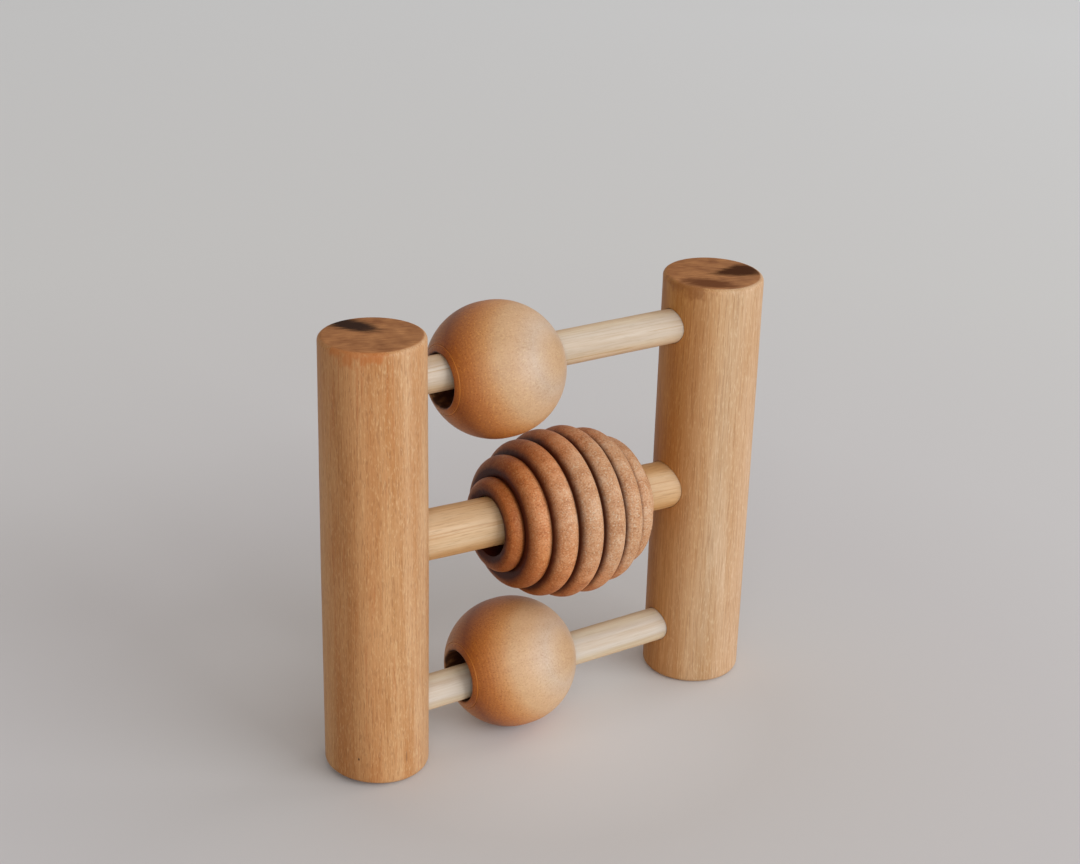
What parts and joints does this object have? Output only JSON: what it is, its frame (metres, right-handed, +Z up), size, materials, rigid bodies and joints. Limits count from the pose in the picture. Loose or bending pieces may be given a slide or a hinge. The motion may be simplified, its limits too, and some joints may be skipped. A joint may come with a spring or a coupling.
{
  "type": "bead rattle",
  "caption": "Wooden baby rattle: round upright posts joined by dowels, with loose ball beads and a ribbed bead that slide along the dowels and clack.",
  "frame": {"origin": "on the floor, midway between the two posts", "axes": "+X along the dowels towards the right post, +Y through the rattle to its back, +Z up along the posts"},
  "size_m": [0.1198, 0.0416, 0.1113],
  "materials": {
    "oiled_post_wood": "oiled",
    "pale_dowel_wood": "bare sanded",
    "thick_dowel_wood": "oiled",
    "ball_bead_wood": "satin",
    "ribbed_bead_wood": "satin"
  },
  "bodies": {
    "frame": {"left_post": "oiled_post_wood", "right_post": "oiled_post_wood", "top_dowel": "pale_dowel_wood", "middle_dowel": "thick_dowel_wood", "bottom_dowel": "pale_dowel_wood"},
    "top_bead": {"top_ball_bead": "ball_bead_wood"},
    "middle_bead": {"ribbed_bead": "ribbed_bead_wood"},
    "bottom_bead": {"bottom_ball_bead": "ball_bead_wood"}
  },
  "joints": [
    {"name": "top_bead_slide", "type": "slide", "parent": "frame", "child": "top_bead", "axis": [1, 0, 0], "range_m": [-0.004, 0.0346]},
    {"name": "middle_bead_slide", "type": "slide", "parent": "frame", "child": "middle_bead", "axis": [0.9993, 0, -0.0379], "range_m": [-0.017, 0.009]},
    {"name": "bottom_bead_slide", "type": "slide", "parent": "frame", "child": "bottom_bead", "axis": [1, 0, 0], "range_m": [-0.0096, 0.029]}
  ]
}
